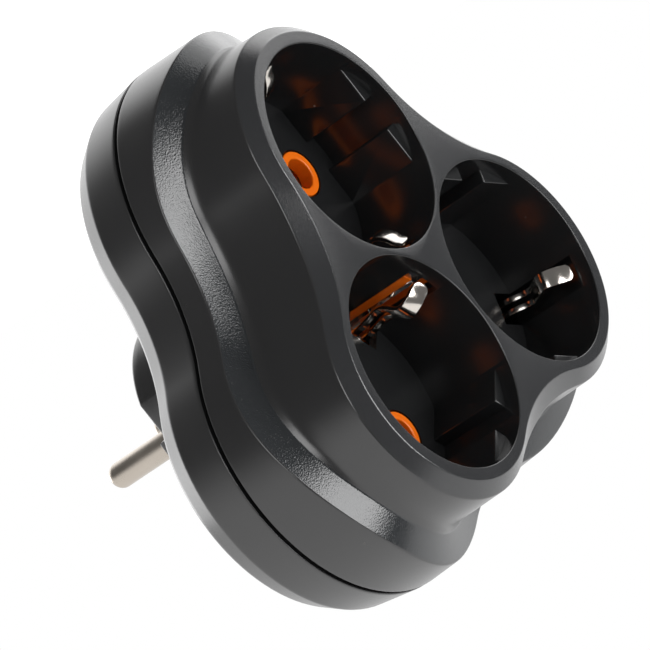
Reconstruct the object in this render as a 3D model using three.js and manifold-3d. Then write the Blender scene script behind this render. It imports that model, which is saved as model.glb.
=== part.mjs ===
// Triple socket adapter: three recessed earthed sockets in a three-lobed housing, with a plug on the back.
// Built looking at the front: x to the right, y up, z towards the viewer, the front face at z = 0.
// The group at the end turns this so that +Z is up, the sockets look along -Y and the plug points along +Y,
// with the origin in the middle of the plug's nose. Millimetres throughout.
import * as THREE from 'three';
import { mergeVertices } from 'three/addons/utils/BufferGeometryUtils.js';
import Module from 'manifold-3d';

const wasm = await Module();
wasm.setup();

// Sockets: standard recess for a 4.8 mm two-pin plug with side earth contacts
const socketAngles = [90, 210, 330];
const socketNames = ['top', 'left', 'right'];
const wellRadius = 19.5;
const wellDepth = 17.5;
const webThickness = 1.18;
const pinPitch = 19;
const pinDiameter = 4.8;
const pinLength = 19;
const guideFlat = 16.8;
const guideGap = 6;
const guideTop = 3;
const slotWidth = 6.2;
const slotTop = 3;
const slotReach = 1.9;
const slotFloorReach = 4.9;

// Front housing, outer form
const rimWidth = 1.6;
const lobeShift = 0.8;
const faceWaist = 34;
const chamferWidth = 2.3;
const chamferDepth = 2.4;
const upperWaist = 46.7;
const wallDraft = 0.4;
const wallFlare = 0.8;
const flareHeight = 2.6;
const shoulderLevel = 15.9;
const shoulderSweep = 3.6;
const shoulderPeak = 1.95;
const shoulderWidth = 5.2;
const shoulderDrop = 2;
const sideDraft = 0.5;
const baseWaist = 34;
const partingDepth = 24.4;
const wallThickness = 2.2;
const faceThickness = 2.6;
const floorThickness = 1.8;
const cupWall = 2.6;

// Back cover and plug body
const partingGap = 0.8;
const coverSideDepth = 8.2;
const coverTaper = 1;
const coverWaist = 31;
const rearRoom = 2.8;
const backChamfer = 2.9;
const tongueHeight = 2.4;
const tongueThickness = 1.4;
const backThickness = 1.8;
const plugReach = 18;
const plugRadius = 18.25;
const plugWall = 1.9;
const plugFlat = 15.9;
const tongueRib = 4;
const tongueRibReach = 18.4;
const noseBevel = 0.8;
const noseThickness = 2.2;
const earthGrooveWidth = 7.6;
const earthGrooveDepth = 16.2;

// Screws and their bosses
const bossAngles = [30, 150, 270];
const bossWall = 0.53;
const bossRadius = 3.3;
const screwRadius = 1.5;
const screwHeadRadius = 2.9;
const screwHeadHeight = 2.2;
const screwLength = 12;
const crossLength = 3.2;
const crossWidth = 0.7;
const crossDepth = 1;

// Orange contact carriers
const sleeveRadius = 4.3;
const sleeveBore = 5.7;
const carrierRadius = 14.2;
const carrierThickness = 1.8;
const turretWall = 1.1;
const turretHeight = 6.4;
const postThickness = 1.7;
const postTop = 4.8;
const postInset = 0.1;
const postDepth = 1.3;
const collarWidth = 8.4;

// Contacts, bars and earth parts
const tulipRadius = 3.5;
const tulipWall = 0.7;
const tulipHeight = 8.4;
const tulipSlit = 1.0;
const footThickness = 0.8;
const footRadius = 4.3;
const barThickness = 1.2;
const barWidth = 7;
const insulatorThickness = 0.8;
const clipThickness = 0.8;
const clipWidth = 3.2;
const clipSlit = 1.0;
const clipStemInset = 3.1;
const clipBumpInset = 4.5;
const clipTipInset = 0.8;
const clipTipTop = 3.4;
const clipForkDrop = 7.4;
const chamberOverlap = 1.2;
const earthPlateThickness = 1;
const earthPlateRadius = 10.5;
const earthStripThickness = 0.8;
const earthStripWidth = 6.6;
const plateHubRadius = 6;
const insulatorRadius = 15;
const flangeRadius = 3.9;
const flangeThickness = 1.6;

// Gaps left between neighbouring pieces
const clearance = 0.3;

// Facets of round forms
const roundSegments = 18;
const smallSegments = 12;
const wellSegments = 48;
const plugSegments = 44;
const innerLobeSteps = 6;
const innerWaistSteps = 4;
const barEndSteps = 4;

// Radii and places worked out from the sizes
const wellOffset = (2 * wellRadius + webThickness) / Math.sqrt(3);
const faceLobe = wellRadius + rimWidth;
const chamferLobe = faceLobe + chamferWidth;
const footLobe = chamferLobe + wallDraft;
const flareLobe = footLobe + wallFlare;
const shoulderLobe = flareLobe + shoulderWidth;
const baseLobe = shoulderLobe + sideDraft;
const cupRadius = wellRadius + cupWall;
const bossReach = cupRadius + bossWall + screwRadius + clearance;
const bossOffset = wellOffset / 2 + Math.sqrt(bossReach ** 2 - 0.75 * wellOffset ** 2);
const slotFloor = wellRadius - slotFloorReach;
const postOffset = wellRadius - postInset;
const clipStemRadius = wellRadius - clipStemInset;
const clipBumpRadius = wellRadius - clipBumpInset;
const clipTipRadius = wellRadius - clipTipInset;

// Levels worked out from the sizes, as z in the frame of the front view
const floorUnder = -wellDepth - floorThickness;
const carrierFoot = floorUnder - clearance - carrierThickness;
const clipBase = carrierFoot - clearance;
const earthPlateLevel = clipBase - clipThickness - clearance;
const earthStripLevel = earthPlateLevel - earthPlateThickness - clearance;
const tulipTop = carrierFoot + carrierThickness - 1;
const footLevel = tulipTop - tulipHeight;
const liveBarLevel = footLevel - footThickness - clearance;
const insulatorLevel = liveBarLevel - barThickness - clearance;
const neutralBarLevel = insulatorLevel - insulatorThickness - clearance;
const coverFront = -partingDepth - partingGap;
const coverSide = coverFront - coverSideDepth;
const backInside = neutralBarLevel - barThickness - rearRoom;
const backFace = backInside - backThickness;
const noseFace = backFace - plugReach;
const noseInside = noseFace + noseThickness;
const pinTip = noseFace - pinLength;

// Materials
const shellMaterial = new THREE.MeshStandardMaterial({ color: 0x16171a, roughness: 0.42, metalness: 0 });
const carrierMaterial = new THREE.MeshStandardMaterial({ color: 0xf06a10, roughness: 0.45, metalness: 0 });
const nickelMaterial = new THREE.MeshStandardMaterial({ color: 0xcdc6b8, roughness: 0.25, metalness: 1 });
const brassMaterial = new THREE.MeshStandardMaterial({ color: 0xc9a24c, roughness: 0.35, metalness: 1 });
const steelMaterial = new THREE.MeshStandardMaterial({ color: 0xa8abae, roughness: 0.35, metalness: 1 });
const insulatorMaterial = new THREE.MeshStandardMaterial({ color: 0xd9d3c4, roughness: 0.7, metalness: 0 });

// Solid modelling helpers

function toSolid(geometry) {
  const bare = geometry.clone();
  bare.deleteAttribute('normal');
  bare.deleteAttribute('uv');
  const merged = mergeVertices(bare, 1e-4);
  const vertProperties = Float32Array.from(merged.attributes.position.array);
  const triVerts = Uint32Array.from(merged.index.array);
  return new wasm.Manifold(new wasm.Mesh({ numProp: 3, vertProperties, triVerts }));
}

function toGeometry(solid) {
  const mesh = solid.getMesh();
  const geometry = new THREE.BufferGeometry();
  geometry.setAttribute('position', new THREE.BufferAttribute(Float32Array.from(mesh.vertProperties), 3));
  geometry.setIndex(new THREE.BufferAttribute(Uint32Array.from(mesh.triVerts), 1));
  geometry.computeVertexNormals();
  return geometry;
}

function joinAll(solids) {
  return solids.reduce((whole, next) => whole.add(next));
}

function cutAll(solid, tools) {
  return tools.reduce((left, tool) => left.subtract(tool), solid);
}

// An outline pushed along z from the lower to the upper level
function prism(shape, from, to, curveSegments = roundSegments) {
  const geometry = new THREE.ExtrudeGeometry(shape, {
    depth: Math.abs(to - from), bevelEnabled: false, curveSegments,
  });
  geometry.translate(0, 0, Math.min(from, to));
  return toSolid(geometry);
}

function rod(radius, from, to, x = 0, y = 0, segments = roundSegments, endRadius = radius) {
  const low = Math.min(from, to);
  const high = Math.max(from, to);
  const geometry = new THREE.CylinderGeometry(endRadius, radius, high - low, segments);
  geometry.rotateX(Math.PI / 2);
  geometry.translate(x, y, (low + high) / 2);
  return toSolid(geometry);
}

function block(xFrom, xTo, yFrom, yTo, zFrom, zTo) {
  const geometry = new THREE.BoxGeometry(xTo - xFrom, yTo - yFrom, Math.abs(zTo - zFrom));
  geometry.translate((xFrom + xTo) / 2, (yFrom + yTo) / 2, (zFrom + zTo) / 2);
  return toSolid(geometry);
}

// A closed skin through rings of equally many points, with flat or bowed end caps
function loft(rings) {
  const count = rings[0].length;
  const positions = rings.flat().flatMap((point) => [point.x, point.y, point.z]);
  const index = [];
  for (let r = 0; r + 1 < rings.length; r += 1) {
    for (let i = 0; i < count; i += 1) {
      const a = r * count + i;
      const b = r * count + (i + 1) % count;
      index.push(a, b, a + count, b, b + count, a + count);
    }
  }
  const outline = rings[0].map((point) => new THREE.Vector2(point.x, point.y));
  const lastOutline = rings[rings.length - 1].map((point) => new THREE.Vector2(point.x, point.y));
  const last = (rings.length - 1) * count;
  for (const [a, b, c] of THREE.ShapeUtils.triangulateShape(outline, [])) index.push(c, b, a);
  for (const [a, b, c] of THREE.ShapeUtils.triangulateShape(lastOutline, [])) {
    index.push(last + a, last + b, last + c);
  }
  const geometry = new THREE.BufferGeometry();
  geometry.setAttribute('position', new THREE.Float32BufferAttribute(positions, 3));
  geometry.setIndex(index);
  return toSolid(geometry);
}

function wrapAngle(angle) {
  return Math.atan2(Math.sin(angle), Math.cos(angle));
}

// Three lobes round the axis, each a circle, joined by concave waist arcs that touch them.
// The level may be a number or a function of the angle from the nearest lobe.
function trefoil(lobeRadius, lobeOffset, waistRadius, level, lobeSteps = 14, waistSteps = 8) {
  const reach = lobeRadius + waistRadius;
  const waistOffset = (lobeOffset + Math.sqrt(4 * reach ** 2 - 3 * lobeOffset ** 2)) / 2;
  const points = [];
  for (const degrees of socketAngles) {
    const axis = THREE.MathUtils.degToRad(degrees);
    const lobe = new THREE.Vector2(Math.cos(axis), Math.sin(axis)).multiplyScalar(lobeOffset);
    const waistAxis = axis + Math.PI / 3;
    const waist = new THREE.Vector2(Math.cos(waistAxis), Math.sin(waistAxis)).multiplyScalar(waistOffset);
    const sweep = wrapAngle(waist.clone().sub(lobe).angle() - axis);
    for (let i = 0; i <= lobeSteps; i += 1) {
      const angle = axis + sweep * (2 * i / lobeSteps - 1);
      points.push([lobe.x + lobeRadius * Math.cos(angle), lobe.y + lobeRadius * Math.sin(angle)]);
    }
    const first = lobe.clone().sub(waist).angle();
    const span = 2 * wrapAngle(waistAxis + Math.PI - first);
    for (let i = 1; i < waistSteps; i += 1) {
      const angle = first + span * i / waistSteps;
      points.push([waist.x + waistRadius * Math.cos(angle), waist.y + waistRadius * Math.sin(angle)]);
    }
  }
  return points.map(([x, y]) => {
    const lobeWave = Math.cos(3 * (Math.atan2(y, x) - Math.PI / 2));
    return new THREE.Vector3(x, y, typeof level === 'function' ? level(lobeWave) : level);
  });
}

// The same outline with fewer points, for surfaces that stay hidden
function innerTrefoil(lobeRadius, lobeOffset, waistRadius, level) {
  return trefoil(lobeRadius, lobeOffset, waistRadius, level, innerLobeSteps, innerWaistSteps);
}

// The shoulder runs high over the lobes and dips towards the waists
function shoulderLine(lower) {
  return (wave) => -shoulderLevel + shoulderSweep * wave + shoulderPeak * wave ** 2 - lower;
}

function atAngle(solid, degrees) {
  return solid.rotate([0, 0, degrees]);
}

// One socket is drawn with its own axis on the origin and the outward direction along +x
function inSocket(solid, degrees) {
  return atAngle(solid.translate([wellOffset, 0, 0]), degrees);
}

// A strip of constant thickness that follows points in the x-z plane, cut to a width along y
function bentStrip(line, thickness, width) {
  const upper = [];
  const lower = [];
  line.forEach((point, i) => {
    const before = line[Math.max(i - 1, 0)];
    const after = line[Math.min(i + 1, line.length - 1)];
    const along = after.clone().sub(before).normalize();
    const side = new THREE.Vector2(-along.y, along.x).multiplyScalar(thickness / 2);
    upper.push(point.clone().add(side));
    lower.push(point.clone().sub(side));
  });
  const shape = new THREE.Shape([...upper, ...lower.reverse()]);
  const geometry = new THREE.ExtrudeGeometry(shape, { depth: width, bevelEnabled: false });
  geometry.translate(0, 0, -width / 2);
  geometry.rotateX(Math.PI / 2);
  return toSolid(geometry);
}

// A flat bar of one width along a chain of points, with round ends and corners
function flatBar(points, width, from, to) {
  const links = [];
  for (let i = 0; i + 1 < points.length; i += 1) {
    const [x1, y1] = points[i];
    const [x2, y2] = points[i + 1];
    const heading = Math.atan2(y2 - y1, x2 - x1);
    const shape = new THREE.Shape();
    shape.absarc(x1, y1, width / 2, heading + Math.PI / 2, heading + 3 * Math.PI / 2, false);
    shape.absarc(x2, y2, width / 2, heading - Math.PI / 2, heading + Math.PI / 2, false);
    links.push(prism(shape, from, to, barEndSteps));
  }
  return joinAll(links);
}

// Where a contact sits: one side of the socket at the given angle, seen from the front
function contactPlace(degrees, side) {
  const axis = THREE.MathUtils.degToRad(degrees);
  const x = wellOffset * Math.cos(axis) - side * (pinPitch / 2) * Math.sin(axis);
  const y = wellOffset * Math.sin(axis) + side * (pinPitch / 2) * Math.cos(axis);
  return [x, y];
}

// Front housing

function housingSkin() {
  const upperOffset = wellOffset + lobeShift;
  return loft([
    trefoil(baseLobe, wellOffset, baseWaist, -partingDepth),
    trefoil(shoulderLobe, wellOffset, baseWaist + baseLobe - shoulderLobe, shoulderLine(shoulderDrop)),
    trefoil(flareLobe, upperOffset, upperWaist, shoulderLine(0)),
    trefoil(footLobe + wallFlare * 0.25, upperOffset, upperWaist, shoulderLine(-flareHeight * 0.45)),
    trefoil(footLobe, upperOffset, upperWaist, shoulderLine(-flareHeight)),
    trefoil(chamferLobe, upperOffset, upperWaist, -chamferDepth),
    trefoil(faceLobe, upperOffset, faceWaist, 0),
  ]);
}

function housingCavity() {
  const upperOffset = wellOffset + lobeShift;
  const inner = (radius) => radius - wallThickness;
  const outer = (radius) => radius + wallThickness;
  const under = wallThickness * 1.1;
  return loft([
    innerTrefoil(inner(baseLobe), wellOffset, outer(baseWaist), -partingDepth - 1),
    innerTrefoil(inner(baseLobe), wellOffset, outer(baseWaist), -partingDepth),
    innerTrefoil(inner(baseLobe), wellOffset, outer(baseWaist), shoulderLine(shoulderDrop + under)),
    innerTrefoil(inner(footLobe), upperOffset, outer(upperWaist), shoulderLine(under)),
    innerTrefoil(inner(chamferLobe), upperOffset, outer(upperWaist), -faceThickness),
  ]);
}

// The bore of one well, with the pairs of guide ribs left standing on both pin sides
function wellBore() {
  const bore = rod(wellRadius, 1, -wellDepth, 0, 0, wellSegments);
  const ribBlock = block(-wellRadius, wellRadius, guideFlat, wellRadius + 1, -guideTop, -wellDepth);
  const ribGap = block(-guideGap / 2, guideGap / 2, guideFlat - 1, wellRadius + 2, 0, -wellDepth - 1);
  const ribs = ribBlock.subtract(ribGap);
  return bore.subtract(ribs).subtract(ribs.rotate([0, 0, 180]));
}

// Openings of one well: clip slots in the wall and floor, and holes for the carrier's sleeves
function wellOpenings() {
  const far = wellRadius + slotReach;
  const slot = block(wellRadius - 1.5, far, -slotWidth / 2, slotWidth / 2, -slotTop, floorUnder - 1);
  const notch = block(slotFloor, far, -slotWidth / 2, slotWidth / 2, -wellDepth + 0.5, floorUnder - 1);
  const hole = rod(sleeveRadius + clearance, -wellDepth + 1, floorUnder - 1, 0, pinPitch / 2);
  const side = slot.add(notch);
  return [side, side.rotate([0, 0, 180]), hole, hole.rotate([0, 0, 180])];
}

function screwBoss() {
  return rod(bossRadius, -faceThickness + 0.5, -partingDepth + 0.5, bossOffset, 0);
}

function frontHousing() {
  const cups = socketAngles.map((degrees) => inSocket(
    rod(cupRadius, 0.5, floorUnder, 0, 0, wellSegments), degrees));
  const bosses = bossAngles.map((degrees) => atAngle(screwBoss(), degrees));
  const hollow = cutAll(housingCavity(), [...cups, ...bosses]);
  const bores = socketAngles.map((degrees) => inSocket(wellBore(), degrees));
  const openings = socketAngles.flatMap((degrees) => wellOpenings().map((tool) => inSocket(tool, degrees)));
  const chamberRadius = wellOffset - wellRadius - slotReach + chamberOverlap;
  const chamber = rod(chamberRadius, -slotTop, floorUnder - 1);
  const pilot = rod(screwRadius + clearance, -partingDepth - 1, -partingDepth + screwLength,
    bossOffset, 0, smallSegments);
  const pilots = bossAngles.map((degrees) => atAngle(pilot, degrees));
  return cutAll(housingSkin(), [hollow, ...bores, ...openings, chamber, ...pilots]);
}

// Back cover with the hollow plug body

function plugSection(radius, flat, ribWidth, ribReach) {
  const shape = new THREE.Shape();
  const flatHalf = Math.sqrt(radius ** 2 - flat ** 2);
  const corner = Math.atan2(flatHalf, flat);
  const ribHalf = ribWidth / 2;
  const ribAngle = Math.asin(ribHalf / ribReach);
  shape.moveTo(flat, ribHalf);
  shape.lineTo(flat, flatHalf);
  shape.absarc(0, 0, radius, corner, Math.PI - corner, false);
  shape.lineTo(-flat, ribHalf);
  shape.absarc(0, 0, ribReach, Math.PI - ribAngle, Math.PI + ribAngle, false);
  shape.lineTo(-flat, -ribHalf);
  shape.lineTo(-flat, -flatHalf);
  shape.absarc(0, 0, radius, Math.PI + corner, 2 * Math.PI - corner, false);
  shape.lineTo(flat, -ribHalf);
  shape.absarc(0, 0, ribReach, -ribAngle, ribAngle, false);
  return shape;
}

function plugBody() {
  const section = plugSection(plugRadius, plugFlat, tongueRib, tongueRibReach);
  const body = prism(section, backInside, noseFace);
  const widest = Math.max(plugRadius, tongueRibReach) + 0.05;
  const bevelled = rod(widest - noseBevel, noseFace, noseFace + noseBevel, 0, 0, plugSegments, widest)
    .add(rod(widest, noseFace + noseBevel, backInside, 0, 0, plugSegments));
  const grooves = [90, 270].map((degrees) => atAngle(
    block(earthGrooveDepth, plugRadius + 1, -earthGrooveWidth / 2, earthGrooveWidth / 2,
      backInside + 1, noseFace - 1), degrees));
  return cutAll(body.intersect(bevelled), grooves);
}

function coverSkin() {
  return loft([
    trefoil(baseLobe - coverTaper - backChamfer, wellOffset, coverWaist + backChamfer, backFace),
    trefoil(baseLobe - coverTaper, wellOffset, coverWaist, coverSide),
    trefoil(baseLobe, wellOffset, baseWaist, coverFront),
  ]);
}

function coverCavity() {
  const inner = (radius) => radius - wallThickness;
  const outer = (radius) => radius + wallThickness;
  const backLobe = baseLobe - coverTaper - backChamfer;
  return loft([
    innerTrefoil(inner(backLobe), wellOffset, outer(coverWaist + backChamfer), backInside),
    innerTrefoil(inner(baseLobe - coverTaper), wellOffset, outer(coverWaist), coverSide),
    innerTrefoil(inner(baseLobe), wellOffset, outer(baseWaist), coverFront),
    innerTrefoil(inner(baseLobe), wellOffset, outer(baseWaist), coverFront + 1),
  ]);
}

// The tongue stands inside the housing's wall and leaves the dark line between the two shells
function coverTongue() {
  const level = coverFront + partingGap + tongueHeight;
  const sleeve = (inset, from, to) => loft([from, to].map(
    (z) => innerTrefoil(baseLobe - inset, wellOffset, baseWaist + inset, z)));
  const inset = wallThickness + clearance;
  const ring = sleeve(inset, coverFront - 2, level);
  const root = sleeve(inset - 2 * clearance, coverFront - 2, coverFront - 0.2);
  return ring.add(root).subtract(sleeve(inset + tongueThickness, coverFront - 3, level + 1));
}

function backCover() {
  const shell = coverSkin().subtract(coverCavity()).add(coverTongue());
  const posts = bossAngles.map((degrees) => atAngle(
    rod(bossRadius, backInside - 0.5, -partingDepth - clearance, bossOffset, 0), degrees));
  const shankHole = rod(screwRadius + clearance, backFace - 1, -partingDepth + 1,
    bossOffset, 0, smallSegments);
  const headSink = rod(screwHeadRadius + clearance, backFace - 1, backFace + screwHeadHeight, bossOffset, 0);
  const sinks = bossAngles.map((degrees) => atAngle(shankHole.add(headSink), degrees));
  const hollow = rod(plugFlat - plugWall, backInside + 1, noseInside, 0, 0, plugSegments);
  const pinHoles = [-1, 1].map((side) => rod(pinDiameter / 2 + clearance, noseInside + 1, noseFace - 1,
    side * pinPitch / 2, 0));
  const half = earthStripWidth / 2 + clearance;
  const stripWindows = [90, 270].map((degrees) => atAngle(
    block(earthGrooveDepth, earthGrooveDepth + earthStripThickness + 2 * clearance, -half, half,
      backInside + 1, backFace - 1), degrees));
  const whole = joinAll([shell, ...posts, plugBody()]);
  return cutAll(whole, [...sinks, hollow, ...pinHoles, ...stripWindows]);
}

// Contact carriers, contacts and bars

function socketCarrier() {
  const top = carrierFoot + carrierThickness;
  const plate = rod(carrierRadius, carrierFoot, top);
  const pieces = [plate];
  const holes = [];
  for (const side of [-1, 1]) {
    const y = side * pinPitch / 2;
    pieces.push(rod(sleeveRadius, top - 0.5, -wellDepth, 0, y));
    pieces.push(rod(tulipRadius + clearance + turretWall, top - 0.5, top - turretHeight, 0, y));
    holes.push(rod(sleeveBore / 2, tulipTop - 0.5, -wellDepth + 1, 0, y));
    holes.push(rod(tulipRadius + clearance, tulipTop + clearance, top - turretHeight - 1, 0, y));
  }
  // A collar frames the inner clip, and one post rises from it beside and behind the clip
  pieces.push(block(-postOffset - postDepth, -carrierRadius + 2, -collarWidth / 2, collarWidth / 2,
    carrierFoot, top));
  const postEdge = -slotWidth / 2 + clearance;
  pieces.push(block(-postOffset - postDepth, -postOffset, postEdge, postEdge + postThickness,
    carrierFoot, -postTop));
  const window = block(-postOffset, -clipStemRadius + clipThickness, -clipWidth / 2 - clearance,
    clipWidth / 2 + clearance, carrierFoot - 1, top + 1);
  return cutAll(joinAll(pieces), [...holes, window]);
}

// A split sleeve that grips the pin, standing on a foot that the bar is riveted to
function tulipContact() {
  const profile = [
    [tulipRadius - tulipWall, footLevel - footThickness],
    [footRadius, footLevel - footThickness],
    [footRadius, footLevel],
    [tulipRadius - 0.2, footLevel],
    [tulipRadius - 0.3, footLevel + tulipHeight * 0.3],
    [tulipRadius - 0.7, footLevel + tulipHeight * 0.75],
    [tulipRadius, tulipTop],
    [tulipRadius - tulipWall, tulipTop],
    [pinDiameter / 2 - 0.1, footLevel + tulipHeight * 0.75],
    [tulipRadius - tulipWall, footLevel + tulipHeight * 0.3],
    [tulipRadius - tulipWall, footLevel - footThickness],
  ];
  const geometry = new THREE.LatheGeometry(profile.map(([x, y]) => new THREE.Vector2(x, y)), smallSegments);
  geometry.rotateX(Math.PI / 2);
  const sleeve = toSolid(geometry);
  const slitFoot = footLevel + tulipHeight * 0.2;
  const slit = block(-tulipRadius - 1, tulipRadius + 1, -tulipSlit / 2, tulipSlit / 2,
    slitFoot, tulipTop + 1);
  return cutAll(sleeve, [slit, slit.rotate([0, 0, 90])]);
}

// A bar of one level along its routes, and the holes that let the plug pins pass below each contact
function barWithHoles(routes, level, holeTop) {
  const arms = routes.map((route) => flatBar(route, barWidth, level, level - barThickness));
  const holes = routes.map((route) => route[route.length - 1]).map(([x, y]) => rod(
    pinDiameter / 2 + 2 * clearance, holeTop + 1, level - barThickness - 1, x, y));
  return [joinAll(arms), holes];
}

function liveBar() {
  const hub = [-pinPitch / 2, 0];
  const routes = socketAngles.map((degrees) => [hub, contactPlace(degrees, 1)]);
  const [plate, holes] = barWithHoles(routes, liveBarLevel, liveBarLevel);
  return cutAll(plate, holes);
}

// The neutral bar lies one level lower, goes round the live pin and reaches up to its contacts with collars
function neutralBar() {
  const hub = [pinPitch / 2, 0];
  const detour = -barWidth - pinDiameter / 2;
  const routes = socketAngles.map((degrees) => {
    const end = contactPlace(degrees, -1);
    return end[0] < -pinPitch / 2 ? [hub, [0, detour], [-pinPitch / 2, detour], end] : [hub, end];
  });
  const [plate, holes] = barWithHoles(routes, neutralBarLevel, liveBarLevel);
  const collars = routes.map((route) => route[route.length - 1]).map(([x, y]) => rod(
    barWidth / 2, neutralBarLevel - 0.2, liveBarLevel, x, y));
  return cutAll(joinAll([plate, ...collars]), holes);
}

// The sheet that keeps the two bars apart, with a hole for the live pin
function barInsulator() {
  const foot = insulatorLevel - insulatorThickness;
  const sheet = rod(insulatorRadius, insulatorLevel, foot, 0, 0, 2 * roundSegments);
  return sheet.subtract(rod(pinDiameter / 2 + 2 * clearance, insulatorLevel + 1, foot - 1, -pinPitch / 2, 0));
}

// Earth parts

function clipLine() {
  const half = [
    [clipTipRadius, -clipTipTop],
    [clipTipRadius - 1.3, -clipTipTop - 1.1],
    [clipBumpRadius + 1, -clipTipTop - 2.1],
    [clipBumpRadius, -clipTipTop - 3.6],
    [clipBumpRadius + 0.3, -clipTipTop - 5],
    [clipStemRadius + 0.2, -clipTipTop - 6.8],
    [clipStemRadius + 1.5, -clipTipTop - 8.8],
    [clipStemRadius + 1.4, -clipTipTop - 10.6],
    [clipStemRadius + 0.4, -clipTipTop - 12.6],
    [clipStemRadius, -wellDepth - 0.6],
    [clipStemRadius, clipBase + 0.6],
    [clipStemRadius - 0.3, clipBase - 0.2],
    [clipStemRadius - 1.1, clipBase - clipThickness / 2],
  ];
  const outer = half.map(([x, z]) => new THREE.Vector2(x, z));
  const inner = half.map(([x, z]) => new THREE.Vector2(-x, z)).reverse();
  return [...outer, ...inner];
}

// One strip bent into a U: both ends stand up in the wall slots as spring contacts
function earthClip() {
  const strip = bentStrip(clipLine(), clipThickness, clipWidth);
  const slit = block(clipStemRadius - 3, clipTipRadius + 1, -clipSlit / 2, clipSlit / 2,
    -clipTipTop - clipForkDrop, -wellDepth - 1.2);
  return cutAll(strip, [slit, slit.rotate([0, 0, 180])]);
}

function earthPlate() {
  const arms = socketAngles.map((degrees) => {
    const axis = THREE.MathUtils.degToRad(degrees);
    const end = [earthPlateRadius * Math.cos(axis), earthPlateRadius * Math.sin(axis)];
    return flatBar([[0, 0], end], slotWidth, earthPlateLevel, earthPlateLevel - earthPlateThickness);
  });
  const hub = rod(plateHubRadius, earthPlateLevel, earthPlateLevel - earthPlateThickness);
  return joinAll([...arms, hub]);
}

// A U strip whose two legs run down the plug's grooves as its side earth contacts
function plugEarthStrip() {
  const legX = earthGrooveDepth + clearance + earthStripThickness / 2;
  const half = [
    [legX, noseFace + 1.6],
    [legX, earthStripLevel - 1.2],
    [legX - 0.3, earthStripLevel - 0.7],
    [legX - 0.9, earthStripLevel - earthStripThickness / 2],
  ];
  const outer = half.map(([x, z]) => new THREE.Vector2(x, z));
  const inner = half.map(([x, z]) => new THREE.Vector2(-x, z)).reverse();
  return atAngle(bentStrip([...outer, ...inner], earthStripThickness, earthStripWidth), 90);
}

// A turned pin with a domed tip, a flange behind the nose wall and a rivet stem up to its bar
function plugPin(topLevel) {
  const radius = pinDiameter / 2;
  const flangeFoot = noseInside + clearance;
  const profile = [
    [0, pinTip],
    [radius * 0.5, pinTip + 0.25],
    [radius * 0.85, pinTip + 0.9],
    [radius, pinTip + 2.1],
    [radius, flangeFoot],
    [flangeRadius, flangeFoot],
    [flangeRadius, flangeFoot + flangeThickness],
    [radius, flangeFoot + flangeThickness],
    [radius, topLevel],
    [0, topLevel],
  ];
  const geometry = new THREE.LatheGeometry(profile.map(([x, y]) => new THREE.Vector2(x, y)), roundSegments);
  geometry.rotateX(Math.PI / 2);
  return toSolid(geometry);
}

function coverScrew() {
  const headTop = backFace + screwHeadHeight - clearance;
  const head = rod(screwHeadRadius, backFace + 0.2, headTop);
  const shank = rod(screwRadius, headTop - 0.2, -partingDepth + screwLength - 2, 0, 0, smallSegments);
  const slot = block(-crossLength / 2, crossLength / 2, -crossWidth / 2, crossWidth / 2,
    backFace - 1, backFace + 0.2 + crossDepth);
  return cutAll(head.add(shank), [slot, slot.rotate([0, 0, 90])]);
}

// Assembly

const adapter = new THREE.Group();
adapter.rotation.x = Math.PI / 2;
adapter.position.y = noseFace;

function place(name, solid, material) {
  const mesh = new THREE.Mesh(toGeometry(solid), material);
  mesh.name = name;
  adapter.add(mesh);
}

place('front_housing', frontHousing(), shellMaterial);
place('back_cover', backCover(), shellMaterial);
socketAngles.forEach((degrees, i) => {
  const name = socketNames[i];
  place(`contact_carrier_${name}`, inSocket(socketCarrier(), degrees), carrierMaterial);
  place(`earth_clip_${name}`, inSocket(earthClip(), degrees), nickelMaterial);
  for (const [side, pole] of [[1, 'live'], [-1, 'neutral']]) {
    const [x, y] = contactPlace(degrees, side);
    place(`${pole}_contact_${name}`, tulipContact().translate([x, y, 0]), brassMaterial);
  }
});
place('live_bar', liveBar(), brassMaterial);
place('bar_insulator', barInsulator(), insulatorMaterial);
place('neutral_bar', neutralBar(), brassMaterial);
place('earth_plate', earthPlate(), nickelMaterial);
place('plug_earth_strip', plugEarthStrip(), nickelMaterial);
const livePin = plugPin(liveBarLevel - barThickness - clearance).translate([-pinPitch / 2, 0, 0]);
const neutralPin = plugPin(neutralBarLevel - barThickness - clearance).translate([pinPitch / 2, 0, 0]);
place('plug_pin_live', livePin, nickelMaterial);
place('plug_pin_neutral', neutralPin, nickelMaterial);
bossAngles.forEach((degrees, i) => {
  place(`cover_screw_${i + 1}`, atAngle(coverScrew().translate([bossOffset, 0, 0]), degrees), steelMaterial);
});

export default adapter;
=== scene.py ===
import math
import bmesh
import bpy
from mathutils import Matrix, Vector


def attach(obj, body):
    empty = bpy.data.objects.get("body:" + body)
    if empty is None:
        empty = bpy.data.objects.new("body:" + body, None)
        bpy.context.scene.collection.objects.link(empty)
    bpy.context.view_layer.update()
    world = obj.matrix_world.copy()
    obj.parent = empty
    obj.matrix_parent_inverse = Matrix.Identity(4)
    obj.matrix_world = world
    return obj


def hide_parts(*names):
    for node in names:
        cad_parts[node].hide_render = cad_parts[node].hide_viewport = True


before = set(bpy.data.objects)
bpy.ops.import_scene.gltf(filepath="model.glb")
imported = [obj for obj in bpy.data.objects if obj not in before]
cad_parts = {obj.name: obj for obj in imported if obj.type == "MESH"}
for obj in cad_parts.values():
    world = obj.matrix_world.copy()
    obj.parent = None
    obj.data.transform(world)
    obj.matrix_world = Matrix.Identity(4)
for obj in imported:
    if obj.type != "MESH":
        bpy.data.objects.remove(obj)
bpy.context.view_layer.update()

# Triple socket adapter. The pieces are drawn in millimetres looking at the front: x right, y up,
# z towards the viewer with the front face at z = 0. toFrame turns that into the frame's metres.

scene = bpy.context.scene
scene.view_settings.view_transform = "Standard"

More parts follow.
